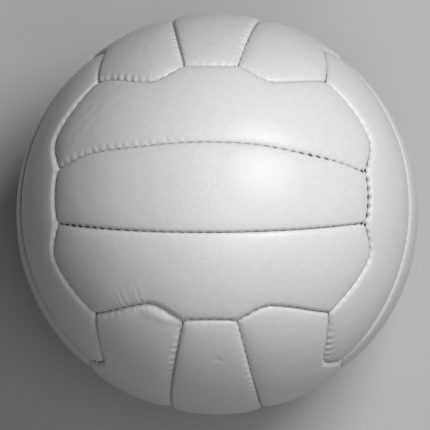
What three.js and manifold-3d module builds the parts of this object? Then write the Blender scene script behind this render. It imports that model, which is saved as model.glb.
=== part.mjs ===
// A small leather medicine ball: eighteen sewn leather panels over a cloth backing,
// a layer of packed stuffing, and a rubber bladder with a valve.
//
// Frame: millimetres, +Z up. The origin is under the ball's centre, on the flat patch
// that the soft ball makes where it rests. The valve is at the back, towards +Y.
//
// The panels lie in six groups of three strips, one group for each face of a cube. On a
// group, "along" is the direction of its strips, "across" is the direction over the strips,
// and "out" points away from the ball's centre. A place on a group is given by two angles
// from the group's middle: one along the strips and one across them.

import * as THREE from "three";
import { mergeVertices } from "three/addons/utils/BufferGeometryUtils.js";
import Module from "manifold-3d";

// ---- Driving dimensions, in millimetres and degrees ----

const BALL_RADIUS = 115;
const CONTACT_RADIUS = 18; // of the flat patch that the ball rests on

const LEATHER = 2.4;
const BACKING = 2.0;
const GAP = 0.3; // between pieces that touch on the real ball
const EDGE_DROP = 1.6; // how far a panel's rounded edge falls into the seam

const THREAD_RADIUS = 0.5;
const THREAD_SIDES = 5;
const THREAD_DEPTH = 0.6; // of the thread's middle, below the panels' surface
const THREAD_END_CLEARANCE = 1.2; // between a thread's end and the middle of the next thread

const STUFFING_SLACK = 2.3; // between the turned-in seams and the stuffing
const BLADDER_RADIUS = 84;
const BLADDER_WALL = 1.8;

const VALVE_RADIUS = 4.4;
const VALVE_FLANGE_RADIUS = 13;
const VALVE_FLANGE = 1.6;
const VALVE_INNER_LENGTH = 8; // of the stem inside the bladder
const VALVE_RECESS = 0.6; // of the valve's mouth, below the leather's surface
const NEEDLE_RADIUS = 1.0;

// Where the seams run. A strip seam is nearly straight, and sags a little towards its ends.
const STRIP_SEAM_MIDDLE = 13.0; // across angle of a strip seam at its middle
const STRIP_SEAM_END = 11.9; // across angle where it meets the end seam
const END_ALONG_MIDDLE = 51.0; // along angle of the middle strip's end, at its middle
const END_ALONG_JUNCTION = 50.4; // along angle where a strip seam meets the end seam
const CORNER = 45; // both angles at a cube corner, where three groups meet

// The end of an outer strip swells between the strip seam and the cube corner:
// [across angle, along angle].
const OUTER_END = [
  [STRIP_SEAM_END, END_ALONG_JUNCTION],
  [17, 52.0],
  [22, 53.7],
  [28.5, 54.7],
  [35, 52.6],
  [40, 49.4],
  [CORNER, CORNER],
];

// Grid lines across a strip's end, as across angles. A rounded edge is EDGE_ANGLE wide.
const EDGE_ANGLE = 1.8;
const MIDDLE_LINES = [-6, 0, 6];
const OUTER_LINES = [22, 33.5];

// Grid of the round layers inside, and of the valve and its hole.
const SPHERE_ACROSS = 24;
const SPHERE_AROUND = 14;
const VALVE_SIDES = 16;
const MERGE_DISTANCE = 1e-4; // vertices nearer than this are one

// ---- Worked-out sizes ----

const FLAT_HEIGHT = Math.sqrt(BALL_RADIUS ** 2 - CONTACT_RADIUS ** 2); // centre above the floor
const POCKET_RADIUS = BALL_RADIUS - LEATHER;
const BACKING_OUTER = POCKET_RADIUS - GAP;
const SHELL_INNER = BACKING_OUTER - BACKING;
const STUFFING_RADIUS = SHELL_INNER - STUFFING_SLACK;

const wasm = await Module();
wasm.setup();

const radians = THREE.MathUtils.degToRad;
const tangent = (degrees) => Math.tan(radians(degrees));
const lerp = THREE.MathUtils.lerp;

// ---- Materials ----

const materials = {
  leather: new THREE.MeshStandardMaterial({ color: 0xe9e6e3, roughness: 0.45 }),
  backing: new THREE.MeshStandardMaterial({ color: 0xd8cfb8, roughness: 0.95 }),
  thread: new THREE.MeshStandardMaterial({ color: 0x5a3226, roughness: 0.6 }),
  stuffing: new THREE.MeshStandardMaterial({ color: 0x9b948a, roughness: 1.0 }),
  bladder: new THREE.MeshStandardMaterial({ color: 0x6b2f22, roughness: 0.6 }),
  valve: new THREE.MeshStandardMaterial({ color: 0x1c1c1c, roughness: 0.5 }),
};

// ---- Solids ----

// A closed geometry as a solid that can be cut and joined.
function solidOf(geometry) {
  const bare = geometry.clone();
  bare.deleteAttribute("normal");
  bare.deleteAttribute("uv");
  const merged = mergeVertices(bare, MERGE_DISTANCE);
  return new wasm.Manifold(
    new wasm.Mesh({
      numProp: 3,
      vertProperties: merged.attributes.position.array,
      triVerts: new Uint32Array(merged.index.array),
    }),
  );
}

function geometryOf(solid) {
  const mesh = solid.getMesh();
  const geometry = new THREE.BufferGeometry();
  geometry.setAttribute("position", new THREE.BufferAttribute(mesh.vertProperties, 3));
  geometry.setIndex(new THREE.BufferAttribute(mesh.triVerts, 1));
  geometry.computeVertexNormals();
  return geometry;
}

// What of a solid is left above the plane where the resting ball is flat, with the plane
// raised by the depth of this layer below the leather's surface.
function flattened(solid, layerRadius) {
  const height = FLAT_HEIGHT - (BALL_RADIUS - layerRadius);
  const size = 4 * BALL_RADIUS;
  const below = new THREE.BoxGeometry(size, size, size).translate(0, 0, -height - size / 2);
  return solid.subtract(solidOf(below));
}

function sphere(radius) {
  return solidOf(new THREE.SphereGeometry(radius, SPHERE_ACROSS, SPHERE_AROUND));
}

// A cylinder towards +Y, between two distances from the ball's centre.
function towardsBack(radius, from, to) {
  const cylinder = new THREE.CylinderGeometry(radius, radius, to - from, VALVE_SIDES);
  return solidOf(cylinder.translate(0, (from + to) / 2, 0));
}

// ---- Seam lines ----

const outerEnd = new THREE.SplineCurve(OUTER_END.map((point) => new THREE.Vector2(...point)));

// The along angle of an end seam, at an across angle on it.
function endAlong(across) {
  const size = Math.abs(across);
  if (size <= STRIP_SEAM_END) {
    const rise = END_ALONG_MIDDLE - END_ALONG_JUNCTION;
    return END_ALONG_JUNCTION + rise * (1 - (size / STRIP_SEAM_END) ** 2);
  }
  // Halve the stretch of the outline that holds this across angle until it is a point.
  const halvings = 40;
  let low = 0;
  let high = 1;
  for (let step = 0; step < halvings; step++) {
    const middle = (low + high) / 2;
    if (outerEnd.getPoint(middle).x < size) low = middle;
    else high = middle;
  }
  return outerEnd.getPoint(low).y;
}

// A direction from its two angles on a group.
function direction(group, along, across) {
  return new THREE.Vector3()
    .addScaledVector(group.along, tangent(along))
    .addScaledVector(group.across, tangent(across))
    .add(group.out)
    .normalize();
}

// A point on the seam at a group's end: side is -1 or 1 along the strips.
function onEndSeam(group, side, across) {
  return direction(group, side * endAlong(across), across);
}

// A point on the seam along a group's outer strip, which is the end seam of the next group.
function onLongSeam(group, side, across) {
  const next = {
    along: group.out,
    across: group.along,
    out: group.across.clone().multiplyScalar(side),
  };
  return onEndSeam(next, 1, across);
}

// A point on a strip seam, with share running from 0 to 1 along it.
function onStripSeam(group, side, share) {
  const along = lerp(-END_ALONG_JUNCTION, END_ALONG_JUNCTION, share);
  const sag = (STRIP_SEAM_MIDDLE - STRIP_SEAM_END) * (along / END_ALONG_JUNCTION) ** 2;
  return direction(group, along, side * (STRIP_SEAM_MIDDLE - sag));
}

// ---- Groups and strips ----

const X = new THREE.Vector3(1, 0, 0);
const Y = new THREE.Vector3(0, 1, 0);
const Z = new THREE.Vector3(0, 0, 1);
const minus = (vector) => vector.clone().negate();

// Each group's strips are named from its lower across angle to its higher one.
const groups = [
  { name: "top", along: X, across: Y, out: Z, strips: ["front", "middle", "back"] },
  { name: "bottom", along: X, across: minus(Y), out: minus(Z), strips: ["back", "middle", "front"] },
  { name: "right", along: Y, across: Z, out: X, strips: ["lower", "middle", "upper"] },
  { name: "left", along: Y, across: minus(Z), out: minus(X), strips: ["upper", "middle", "lower"] },
  { name: "back", along: Z, across: X, out: Y, strips: ["left", "middle", "right"] },
  { name: "front", along: Z, across: minus(X), out: minus(Y), strips: ["right", "middle", "left"] },
];

// The across angles between which each strip's end lies, with the grid lines in between.
const strips = [
  { side: -1, from: -CORNER, to: -STRIP_SEAM_END, lines: OUTER_LINES.map((a) => -a).reverse() },
  { side: 0, from: -STRIP_SEAM_END, to: STRIP_SEAM_END, lines: MIDDLE_LINES },
  { side: 1, from: STRIP_SEAM_END, to: CORNER, lines: OUTER_LINES },
];

// Grid lines between two across angles, with or without a line for the rounded edge at each end.
function gridLines(from, to, between, withEdges) {
  const edges = withEdges ? [from + EDGE_ANGLE, to - EDGE_ANGLE] : [];
  return [from, to, ...edges, ...between].sort((a, b) => a - b);
}

// A line from -CORNER to CORNER as a share from 0 to 1.
const shareOf = (across) => (across + CORNER) / (2 * CORNER);

// The grid lines along every strip, as shares. They meet the lines at the ends of the next
// group's strips, so that panels on both sides of a seam have the same corners along it.
function lengthLines(withEdges) {
  const junctions = [-STRIP_SEAM_END, STRIP_SEAM_END];
  const between = [...junctions, ...strips.flatMap((strip) => strip.lines)];
  return gridLines(-CORNER, CORNER, between, withEdges).map(shareOf);
}

// A strip's surface on the unit sphere: u runs along it and v across it, both from 0 to 1.
// It blends the strip's four seams.
function stripSurface(group, strip) {
  const acrossAt = (v) => lerp(strip.from, strip.to, v);
  const west = (v) => onEndSeam(group, -1, acrossAt(v));
  const east = (v) => onEndSeam(group, 1, acrossAt(v));
  const longSide = (side) => (u) => onLongSeam(group, side, lerp(-CORNER, CORNER, u));
  const seamSide = (side) => (u) => onStripSeam(group, side, u);
  const south = strip.side < 0 ? longSide(-1) : seamSide(strip.side || -1);
  const north = strip.side > 0 ? longSide(1) : seamSide(strip.side || 1);
  return (u, v) =>
    new THREE.Vector3()
      .addScaledVector(south(u), 1 - v)
      .addScaledVector(north(u), v)
      .addScaledVector(west(v), 1 - u)
      .addScaledVector(east(v), u)
      .addScaledVector(south(0), -(1 - u) * (1 - v))
      .addScaledVector(south(1), -u * (1 - v))
      .addScaledVector(north(0), -(1 - u) * v)
      .addScaledVector(north(1), -u * v)
      .normalize();
}

// A closed block over a strip, between two radii, with its sides moved in by a distance.
// With an edge drop its grid has edge lines, and its outer rim lies lower by the drop.
function stripBlock(group, strip, { inset, outer, inner, edgeDrop = 0 }) {
  const withEdges = edgeDrop > 0;
  const surface = stripSurface(group, strip);
  const uLines = lengthLines(withEdges);
  const vLines = gridLines(strip.from, strip.to, strip.lines, withEdges).map(
    (across) => (across - strip.from) / (strip.to - strip.from),
  );
  const lastU = uLines.length - 1;
  const lastV = vLines.length - 1;

  // The change of u or v that moves a point on a seam in by the inset.
  const step = 1e-3;
  const insetShare = (u, v, inwardU, inwardV) => {
    const next = surface(u + inwardU * step, v + inwardV * step);
    return (step * inset) / (surface(u, v).distanceTo(next) * BALL_RADIUS);
  };

  const geometry = new THREE.BoxGeometry(1, 1, 1, lastU, lastV, 1);
  const position = geometry.attributes.position;
  for (let k = 0; k < position.count; k++) {
    const i = Math.round((position.getX(k) + 0.5) * lastU);
    const j = Math.round((position.getY(k) + 0.5) * lastV);
    const inwardU = Number(i === 0) - Number(i === lastU);
    const inwardV = Number(j === 0) - Number(j === lastV);
    let u = uLines[i];
    let v = vLines[j];
    if (inwardU) u += inwardU * insetShare(uLines[i], vLines[j], inwardU, 0);
    if (inwardV) v += inwardV * insetShare(uLines[i], vLines[j], 0, inwardV);
    const onRim = i === 0 || i === lastU || j === 0 || j === lastV;
    const top = onRim ? outer - edgeDrop : outer;
    const radius = position.getZ(k) > 0 ? top : inner;
    const point = surface(u, v).multiplyScalar(radius);
    position.setXYZ(k, point.x, point.y, point.z);
  }
  return solidOf(geometry);
}

// ---- Sub-parts ----

const isFlat = (group, strip) => group.name === "bottom" && strip.side === 0;
const hasValve = (group, strip) => group.name === "back" && strip.side === 0;

// A leather panel: a dish with its edges turned in, open towards the ball's middle.
function leatherPanel(group, strip) {
  let panel = stripBlock(group, strip, {
    inset: GAP / 2,
    outer: BALL_RADIUS,
    inner: SHELL_INNER,
    edgeDrop: EDGE_DROP,
  });
  let pocket = stripBlock(group, strip, {
    inset: LEATHER,
    outer: POCKET_RADIUS,
    inner: SHELL_INNER - LEATHER,
  });
  if (isFlat(group, strip)) {
    panel = flattened(panel, BALL_RADIUS);
    pocket = flattened(pocket, POCKET_RADIUS);
  }
  panel = panel.subtract(pocket);
  if (hasValve(group, strip)) {
    panel = panel.subtract(towardsBack(VALVE_RADIUS + GAP, BLADDER_RADIUS, 2 * BALL_RADIUS));
  }
  return geometryOf(panel);
}

// The cloth laminate that fills a leather panel's dish.
function clothBacking(group, strip) {
  let backing = stripBlock(group, strip, {
    inset: LEATHER + GAP,
    outer: BACKING_OUTER,
    inner: SHELL_INNER,
  });
  if (isFlat(group, strip)) backing = flattened(backing, BACKING_OUTER);
  if (hasValve(group, strip)) {
    backing = backing.subtract(towardsBack(VALVE_RADIUS + GAP, BLADDER_RADIUS, 2 * BALL_RADIUS));
  }
  return geometryOf(backing);
}

// A thread through points on the unit sphere, lying at the thread's depth in the seam.
function threadAlong(points) {
  const segments = points.length - 1;
  const geometry = new THREE.CylinderGeometry(1, 1, 1, THREAD_SIDES, segments);
  const rings = points.map((up, k) => {
    const before = points[Math.max(k - 1, 0)];
    const after = points[Math.min(k + 1, segments)];
    const arriving = up.clone().sub(before).normalize();
    const leaving = after.clone().sub(up).normalize();
    const heading = arriving.clone().add(leaving).normalize();
    const mitre = Math.max(heading.dot(leaving), heading.dot(arriving));
    const sideways = up.clone().cross(heading).normalize().divideScalar(mitre);
    return { up, sideways };
  });
  const position = geometry.attributes.position;
  for (let k = 0; k < position.count; k++) {
    const ring = rings[Math.round((0.5 - position.getY(k)) * segments)];
    const point = ring.up
      .clone()
      .multiplyScalar(BALL_RADIUS - THREAD_DEPTH + THREAD_RADIUS * position.getZ(k))
      .addScaledVector(ring.sideways, THREAD_RADIUS * position.getX(k));
    position.setXYZ(k, point.x, point.y, point.z);
  }
  return geometryOf(solidOf(geometry));
}

// The point on the way from one point to the next that leaves room for another thread's end.
function shortened(from, to) {
  const share = THREAD_END_CLEARANCE / (from.distanceTo(to) * BALL_RADIUS);
  return from.clone().lerp(to, share).normalize();
}

function withShortEnds(points) {
  const last = points.length - 1;
  const start = shortened(points[0], points[1]);
  const end = shortened(points[last], points[last - 1]);
  return [start, ...points.slice(1, last), end];
}

function stripSeamThread(group, side) {
  const points = lengthLines(true).map((share) => onStripSeam(group, side, share));
  return threadAlong(withShortEnds(points));
}

// The seam between two cube corners. Corners are given by their signs, such as [1, 1, -1].
function edgeSeam(from, to) {
  const axes = [X, Y, Z];
  const moving = from.findIndex((sign, k) => sign !== to[k]);
  const group = groups.find((g) => g.across === axes[moving]);
  const end = {
    along: group.along.clone().multiplyScalar(from[axes.indexOf(group.along)]),
    across: group.across,
    out: group.out.clone().multiplyScalar(from[axes.indexOf(group.out)]),
  };
  const across = lengthLines(true).map((share) => from[moving] * lerp(CORNER, -CORNER, share));
  return across.map((angle) => onEndSeam(end, 1, angle));
}

// A thread that runs on through three edges of the cube, from one corner to the opposite one.
function edgeSeamThread(corner) {
  const points = [];
  let from = corner;
  for (let axis = 0; axis < 3; axis++) {
    const to = from.map((sign, k) => (k === axis ? -sign : sign));
    const seam = edgeSeam(from, to);
    points.push(...(points.length ? seam.slice(1) : seam));
    from = to;
  }
  return threadAlong(withShortEnds(points));
}

// The stuffing is packed round the bladder, and leaves room for the valve and its flange.
function stuffing() {
  const flangeTop = BLADDER_RADIUS + GAP + VALVE_FLANGE + GAP;
  const layer = flattened(sphere(STUFFING_RADIUS), STUFFING_RADIUS)
    .subtract(sphere(BLADDER_RADIUS + GAP))
    .subtract(towardsBack(VALVE_RADIUS + GAP, 0, 2 * BALL_RADIUS))
    .subtract(towardsBack(VALVE_FLANGE_RADIUS + GAP, 0, flangeTop));
  return geometryOf(layer);
}

// The bladder is a hollow rubber sphere, open where the valve's stem passes its wall.
function bladder() {
  const skin = sphere(BLADDER_RADIUS)
    .subtract(sphere(BLADDER_RADIUS - BLADDER_WALL))
    .subtract(towardsBack(VALVE_RADIUS + GAP, 0, BALL_RADIUS));
  return geometryOf(skin);
}

// The valve is a rubber stem with a flange that is bonded to the bladder, and a channel for
// a pump's needle.
function valve() {
  const mouth = BALL_RADIUS - VALVE_RECESS;
  const foot = BLADDER_RADIUS - VALVE_INNER_LENGTH;
  const flangeFoot = BLADDER_RADIUS + GAP;
  const profile = [
    [NEEDLE_RADIUS, foot],
    [VALVE_RADIUS, foot],
    [VALVE_RADIUS, flangeFoot],
    [VALVE_FLANGE_RADIUS, flangeFoot],
    [VALVE_FLANGE_RADIUS, flangeFoot + VALVE_FLANGE],
    [VALVE_RADIUS, flangeFoot + VALVE_FLANGE],
    [VALVE_RADIUS, mouth],
    [NEEDLE_RADIUS, mouth],
    [NEEDLE_RADIUS, foot],
  ];
  const points = profile.map((point) => new THREE.Vector2(...point));
  return geometryOf(solidOf(new THREE.LatheGeometry(points, VALVE_SIDES)));
}

// ---- Assembly ----

const ball = new THREE.Group();
ball.position.z = FLAT_HEIGHT;

function place(name, geometry, material) {
  const mesh = new THREE.Mesh(geometry, material);
  mesh.name = name;
  ball.add(mesh);
}

for (const group of groups) {
  strips.forEach((strip, k) => {
    const name = `${group.name}_${group.strips[k]}`;
    place(`${name}_panel`, leatherPanel(group, strip), materials.leather);
    place(`${name}_backing`, clothBacking(group, strip), materials.backing);
    if (strip.side !== 0) {
      place(`${name}_seam_thread`, stripSeamThread(group, strip.side), materials.thread);
    }
  });
}

// Each cube edge belongs to one of four threads, which start at these corners.
const threadStarts = [
  [1, 1, 1],
  [1, -1, -1],
  [-1, 1, -1],
  [-1, -1, 1],
];
threadStarts.forEach((corner, k) => {
  place(`edge_seam_thread_${k + 1}`, edgeSeamThread(corner), materials.thread);
});

place("stuffing", stuffing(), materials.stuffing);
place("bladder", bladder(), materials.bladder);
place("valve", valve(), materials.valve);

const part = new THREE.Group();
part.add(ball);

export default part;
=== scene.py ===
"""Looks of a small hand-sewn leather medicine ball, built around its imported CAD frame.

The ball is worked out in millimetres about its own centre, and set down in the frame at the
end. A panel lies in one of six groups of three strips. On a group, x runs along the strips,
y across them and z points away from the ball's centre, and a place on it is given by two
angles from the group's middle: along and across.
"""

import math

import bpy
import numpy as np
from mathutils import Matrix, Vector


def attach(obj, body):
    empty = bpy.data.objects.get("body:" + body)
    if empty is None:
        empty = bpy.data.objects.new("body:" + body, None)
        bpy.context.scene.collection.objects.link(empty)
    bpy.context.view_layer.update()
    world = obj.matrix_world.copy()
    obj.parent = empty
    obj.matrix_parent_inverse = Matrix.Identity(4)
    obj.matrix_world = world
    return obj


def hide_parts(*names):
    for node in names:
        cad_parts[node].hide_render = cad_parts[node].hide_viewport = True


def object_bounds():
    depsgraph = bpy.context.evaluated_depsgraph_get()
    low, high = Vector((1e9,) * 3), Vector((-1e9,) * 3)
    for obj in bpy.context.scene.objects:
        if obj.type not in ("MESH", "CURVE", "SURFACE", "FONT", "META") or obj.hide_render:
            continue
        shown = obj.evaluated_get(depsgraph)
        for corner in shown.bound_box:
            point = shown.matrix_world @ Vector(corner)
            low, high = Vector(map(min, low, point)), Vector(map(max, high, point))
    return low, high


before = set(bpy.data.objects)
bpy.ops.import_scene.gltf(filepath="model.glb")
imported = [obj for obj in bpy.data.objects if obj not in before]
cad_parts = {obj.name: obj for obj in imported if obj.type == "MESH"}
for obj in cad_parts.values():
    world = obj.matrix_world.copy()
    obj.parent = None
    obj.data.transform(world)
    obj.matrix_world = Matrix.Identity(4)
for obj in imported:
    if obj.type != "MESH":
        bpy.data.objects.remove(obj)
CAD_LOW, CAD_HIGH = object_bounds()

# ---- Sizes, in millimetres and degrees ----

MM = 0.001
TURN = 2 * math.pi
RADIUS = (CAD_HIGH.x - CAD_LOW.x) / 2 / MM  # the ball's
CENTRE_HEIGHT = CAD_HIGH.z / MM - RADIUS  # the ball's centre, above the floor
LEATHER = 2.4
BACKING = 2.0
GAP = 0.3
POCKET_RADIUS = RADIUS - LEATHER
BACKING_RADIUS = POCKET_RADIUS - GAP
SHELL_INNER = BACKING_RADIUS - BACKING

# Where the seams run, as in the CAD part.
STRIP_SEAM_MIDDLE = 13.0
STRIP_SEAM_END = 11.9
END_ALONG_MIDDLE = 51.0
END_ALONG_JUNCTION = 50.4
CORNER = 45.0
OUTER_END = [(STRIP_SEAM_END, END_ALONG_JUNCTION), (17, 52.0), (22, 53.7), (28.5, 54.7)]
OUTER_END += [(35, 52.6), (40, 49.4), (CORNER, CORNER)]

# The sewn edge: a panel sinks towards the seam, rolls over into it, and is pulled together by
# each stitch, which also folds the leather a little.
STITCH_PITCH = 5.4
# How each kind of border comes down to its seam: the width and depth of its roll, and the depth
# of a wide sink before it. The depths have the same sum, so that both sides meet.
END_EDGE = (2.1, 1.20, 1.55)
LONG_EDGE = (2.9, 2.20, 0.55)  # an outer strip's long side, which stands proud of the next group
SOFT_EDGE = (2.2, 0.90, 1.85)  # an outer strip's side, beside the middle strip
CRISP_EDGE = (1.9, 1.90, 0.85)  # a middle strip's sides
WIDE_SINK = 8.0
NEAR_SINK = 2.8
NEAR_SINK_DEPTH = 0.55
BRIDGE_RISE = 0.55  # the share of the roll that a stitch holds up
BRIDGE_REACH = 1.0
TURNED_IN = 4.7  # how much of a panel's cut edge is turned down into the seam
CHANNEL_TOP = 3.75
CHANNEL_HALF_WIDTH = 0.45
THREAD_DEEP = 4.2
THREAD_RISE = 1.4

# A seam's opening. Where three seams meet, the panel's edge bulges into it.
PINCHED_HALF_GAP = 0.02
OPEN_HALF_GAP = 0.11
LENS, WIDE_LENS = 1.6, 0.6  # how blunt the opening's ends are between two stitches
GAP_UNEVENNESS, GAP_WAVELENGTH, GAP_SEED = 0.5, 26, 11
GAP_REACH = 1.3
JUNCTION_REACH = 2.6
JUNCTION_BULGE = 0.75
# How far from a seam the leather is darkened, partly as dirt and partly as painted shade in the
# seam's groove.
DIRT_AND_SHADE_REACH = 0.9

# Folds at the stitches, and wrinkles that run out from the seam.
PUCKER_DEPTH = 0.50
PUCKER_WIDTH = 0.80
PUCKER_REACH, REACH_GROWTH = 2.04, 0.408  # deeper folds reach further
PUCKER_START = 0.4
BASE_PUCKER = 0.3
SMOOTH_SIDE = 0.25  # a seam's folds lie on one side of it, and the other side has this share
STITCH_WANDER = 0.5
WANDER_WAVELENGTHS = (9, 14)
WRINKLE_WAVELENGTHS = (2.6, 3.4, 4.6)
WRINKLE_BASE, WRINKLE_DEPTH, WRINKLE_REACH = 0.01, 0.06, 12.0
GATHER_DEPTH, GATHER_REACH = 0.05, 4.5
SWELLS = [(0.08, 34, 0), (0.02, 13, 50)]  # the whole panel's: depth, wavelength, seed's offset
CREASE_WANDER, CREASE_WAVELENGTH, CREASE_SEED = 0.7, 9, 40

# Grid spacing, and the rows that follow a panel's rolled edge, as distances from the seam.
SPACING = 0.85
EDGE_ROWS = [0.06, 0.2, 0.45, 0.8, 1.25, 1.8, 2.4, 3.1][:: 1]
INNER_STEP = 4  # hidden layers keep each fourth line of the grid

# The valve and its hole, in the middle of the back.
VALVE_STRIP = "back_middle"
VALVE_RADIUS = 4.4
VALVE_HOLE = VALVE_RADIUS + GAP
HOLE_CELLS = 0.9  # the square of cells that the hole replaces, as a share of the hole
HOLE_SPREAD = 2.6
DIMPLE_RADIUS, DIMPLE_DEPTH = 6.5, 0.35
VALVE_FOOT = 76.0
VALVE_RECESS = 0.6
NEEDLE_RADIUS = 1.0
FLANGE_RADIUS = 13.0
FLANGE_TOP = 85.9
VALVE_SIDES = 64

# The layers inside.
BLADDER_RADIUS = 84.0
BLADDER_WALL = 1.8
BLADDER_SIDES, BLADDER_RINGS = 128, 64
PARTING_RISE, PARTING_WIDTH = 0.6, 1.6
COLLAR_RISE, COLLAR_RADIUS = 1.1, 11.0
STUFFING_RADIUS = 108.0
STUFFING_FLAT_DEPTH = 7.0
STUFFING_SIDES, STUFFING_RINGS = ((256, 128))
LUMP_DEPTH = 1.8
LUMPS = [(0.6, 15, 80), (0.4, 7.5, 81)]  # share, wavelength and seed
SMOOTH_ROUND_VALVE, LUMPS_FADE = 6.0, 10.0
CLOTH_SLACK, SLACK_WAVELENGTH, SLACK_SEED = 0.12, 11, 70
WEAVE_PITCH = 0.8

# ---- Groups ----

X, Y, Z = np.eye(3)
GROUPS = {
    "top": ((X, Y, Z), ("front", "middle", "back")),
    "bottom": ((X, -Y, -Z), ("back", "middle", "front")),
    "right": ((Y, Z, X), ("lower", "middle", "upper")),
    "left": ((Y, -Z, -X), ("upper", "middle", "lower")),
    "back": ((Z, X, Y), ("left", "middle", "right")),
    "front": ((Z, -X, -Y), ("right", "middle", "left")),
}
SIDES = (-1, 0, 1)


def turn_of(group):
    """The matrix that turns a point on a group into the ball's own axes."""
    return np.stack(GROUPS[group][0], axis=1)


def norm(v):
    return np.linalg.norm(v, axis=-1)


def unit(v):
    return v / norm(v)[..., None]


def bell(apart, reach):
    """Closeness, from 1 at no distance apart, down to 0."""
    return np.exp(-((apart / reach) ** 2))


def on_group(along, across):
    """A direction from its two angles on a group."""
    along, across = np.broadcast_arrays(np.radians(along), np.radians(across))
    return unit(np.stack([np.tan(along), np.tan(across), np.ones_like(along)], axis=-1))


def on_ball(group, along, across):
    return turn_of(group) @ on_group(along, across)


def distances(points, axis=0):
    """How far each point of a line or grid lies along its line on that axis."""
    start = np.take(points, [0], axis=axis)
    return np.cumsum(norm(np.diff(points, axis=axis, prepend=start)), axis=axis)


# ---- Seam lines ----


def spline_points(points, per_span=60):
    """Points on a uniform Catmull-Rom curve."""
    p = np.array([points[0], *points, points[-1]], float)
    t = np.linspace(0, 1, per_span, endpoint=False)[:, None]
    spans = []
    for a, b, c, d in zip(p, p[1:], p[2:], p[3:]):
        leaving, arriving = (c - a) / 2, (d - b) / 2
        cubic = 2 * b - 2 * c + leaving + arriving
        square = -3 * b + 3 * c - 2 * leaving - arriving
        spans.append(((cubic * t + square) * t + leaving) * t + b)
    return np.concatenate([*spans, p[-1:]])


OUTER_END_CURVE = spline_points(OUTER_END)


def end_along(across):
    """The along angle of an end seam, at an across angle on it."""
    size = np.abs(across)
    rise = END_ALONG_MIDDLE - END_ALONG_JUNCTION
    middle = END_ALONG_JUNCTION + rise * (1 - (size / STRIP_SEAM_END) ** 2)
    outer = np.interp(size, OUTER_END_CURVE[:, 0], OUTER_END_CURVE[:, 1])
    return np.where(size <= STRIP_SEAM_END, middle, outer)


def end_seam(end, across):
    return on_group(end * end_along(across), across)


def long_seam(side, across):
    """The outer side of an outer strip, which is the end seam of the next group."""
    x, y, z = np.moveaxis(end_seam(1, across), -1, 0)
    return np.stack([y, side * z, x], axis=-1)


def strip_seam(side, share):
    along = END_ALONG_JUNCTION * (2 * share - 1)
    sag = (STRIP_SEAM_MIDDLE - STRIP_SEAM_END) * (along / END_ALONG_JUNCTION) ** 2
    return on_group(along, side * (STRIP_SEAM_MIDDLE - sag))


def strip_sides(side, u):
    """The points of a strip's two long borders at u, the lower one first."""
    outer_angle = CORNER * (2 * u - 1)
    south = long_seam(-1, outer_angle) if side < 0 else strip_seam(side or -1, u)
    north = long_seam(1, outer_angle) if side > 0 else strip_seam(side or 1, u)
    return south, north


def strip_surface(side, u, v):
    """A strip's surface on the unit sphere, blended from its four borders."""
    u, v = np.broadcast_arrays(u, v)
    lines = (-CORNER, -STRIP_SEAM_END, STRIP_SEAM_END, CORNER)
    low, high = lines[side + 1 : side + 3]
    across = low + (high - low) * v
    west, east = end_seam(-1, across), end_seam(1, across)
    south, north = strip_sides(side, u)
    south_west, north_west = strip_sides(side, 0.0)
    south_east, north_east = strip_sides(side, 1.0)
    u, v = u[..., None], v[..., None]
    blend = south * (1 - v) + north * v + west * (1 - u) + east * u
    corners = (1 - v) * ((1 - u) * south_west + u * south_east)
    corners += v * ((1 - u) * north_west + u * north_east)
    return unit(blend - corners)


# ---- Irregular patterns, the same on every run ----


def ripple_field(points, wavelength, seed, waves=7):
    """A smooth uneven pattern of about -1 to 1 through space, at points in millimetres."""
    random = np.random.default_rng(seed)
    total = np.zeros(points.shape[:-1])
    for _ in range(waves):
        heading = unit(random.normal(size=3)) * random.uniform(0.7, 1.4)
        total += np.sin(points @ heading * TURN / wavelength + random.uniform(0, TURN))
    return total / math.sqrt(2 * waves)


def ripple_line(s, wavelengths, seed):
    """A smooth uneven pattern along a line."""
    random = np.random.default_rng(seed)
    total = np.zeros_like(s)
    for wavelength in wavelengths:
        bend = 0.6 * np.sin(s * TURN / (wavelength * 5.3) + random.uniform(0, TURN))
        total += np.sin(s * TURN / wavelength + bend + random.uniform(0, TURN))
    return total / math.sqrt(2 * len(wavelengths))


# Places where the ball is uneven, on each group: (along, across, reach in degrees, strength).
# Open stitches show the thread.
OPEN_STITCHES = {
    "top": [
        (27, 12.2, 2.2, 0.35), (31.1, 12.2, 2, 0.7), (35.5, 12.2, 2.4, 0.4), (20, 12.6, 4, 0.12),
        (-38, -12.3, 12, 0.16), (21.5, 35.9, 1.5, 0.25), (-43, -12.1, 5, 0.2),
    ],
    "front": [(16.5, 39, 4, 0.7)],
    "right": [(9, 39.1, 3.4, 1.1), (-0.4, 39.1, 4, 1.35), (-8, 39.1, 3.2, 1.1)],
    "left": [(18, 39, 6, 0.35)],
    "back": [(-20, -12.5, 5, 0.35)],
    "bottom": [(24, 12.5, 6, 0.3)],
}
# Puckered seams have a ladder of small folds across them.
PUCKERS = {
    "top": [
        (-46, 13, 9, 0.7), (-31, 14, 9, 0.8), (-15, 14, 8, 0.6), (34, 14, 10, 0.5),
        (-38, 43, 6, 1.8), (-30, 39, 6, 1.9), (-36.6, -41.2, 5, 1.3),
    ],
    "front": [
        (40, 12.4, 9, 0.7), (30, 12.4, 12, 0.7), (14, 12.4, 12, 0.8), (33.6, -41.5, 6, 2.2),
        (22, -38.2, 8, 2.6), (25, -12.6, 14, 1), (17, 39, 6, 2.2), (31, 41, 7, 0.9),
    ],
    "right": [(-3, -13, 18, 1.1)],
    "left": [(12, 13, 16, 1.2)],
    "back": [(38, -12.4, 12, 1.1), (38, 12.4, 12, 1.3), (5, 12.6, 14, 1), (-30, -12.6, 14, 1.1)],
    "bottom": [(-20, 12.6, 12, 1.1)],
}
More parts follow.
